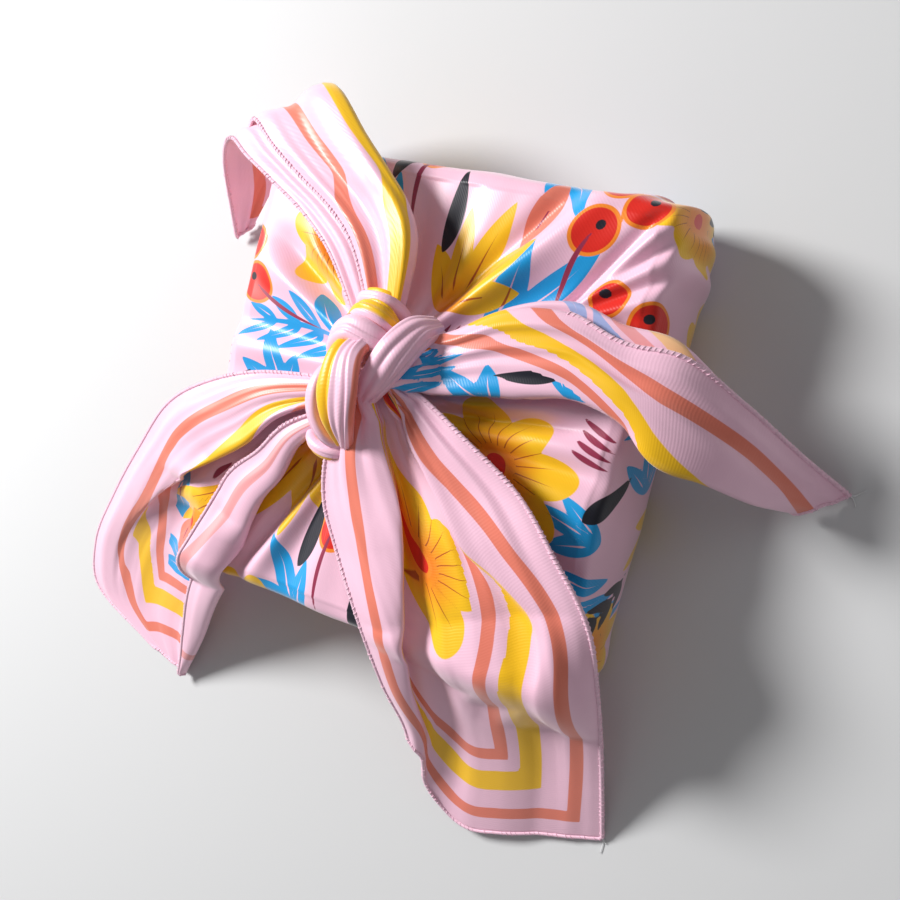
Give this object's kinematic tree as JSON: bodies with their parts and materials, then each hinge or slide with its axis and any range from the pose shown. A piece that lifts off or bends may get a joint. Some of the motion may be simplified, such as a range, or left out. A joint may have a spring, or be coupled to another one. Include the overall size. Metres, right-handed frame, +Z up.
{
  "type": "furoshiki wrap",
  "caption": "Square scarf wrapped around a flat square parcel and tied on top in a knot with free tails that hang over the edges.",
  "frame": {"origin": "middle of the parcel's flat base, on the surface it rests on", "axes": "+Z up; +X to the parcel's right side, over which the narrowest tail hangs; +Y to its back"},
  "size_m": [0.3543, 0.2888, 0.0904],
  "materials": {
    "satin": "soft satin, printed"
  },
  "bodies": {
    "root": {"wrap": "satin"}
  },
  "joints": []
}
